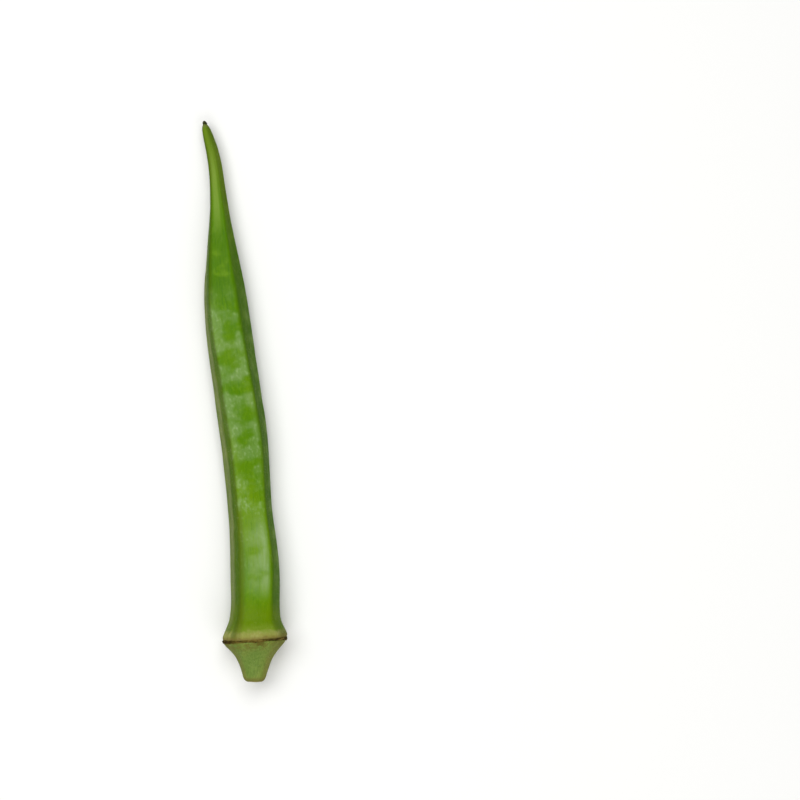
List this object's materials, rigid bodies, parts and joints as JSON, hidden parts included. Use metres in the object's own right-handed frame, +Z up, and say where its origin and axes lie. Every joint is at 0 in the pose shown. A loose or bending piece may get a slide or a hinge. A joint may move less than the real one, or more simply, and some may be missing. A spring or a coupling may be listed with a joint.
{
  "type": "okra pod",
  "caption": "Long slim ridged okra pod as picked, gently S-curved, with a ringed calyx scar, a cone to the cut stem and a pointed beak, lying on a surface.",
  "frame": {"origin": "bottom centre of the pod's box, on the surface that it lies on", "axes": "+Y along the pod from the cut stem to the tip, +Z up away from the surface, +X to the side that the beak bends away from"},
  "size_m": [0.0274, 0.1796, 0.0202],
  "materials": {
    "pod_skin": "fresh green plant skin, semi-gloss under fine down"
  },
  "bodies": {
    "root": {"okra_pod": "pod_skin"}
  },
  "joints": []
}
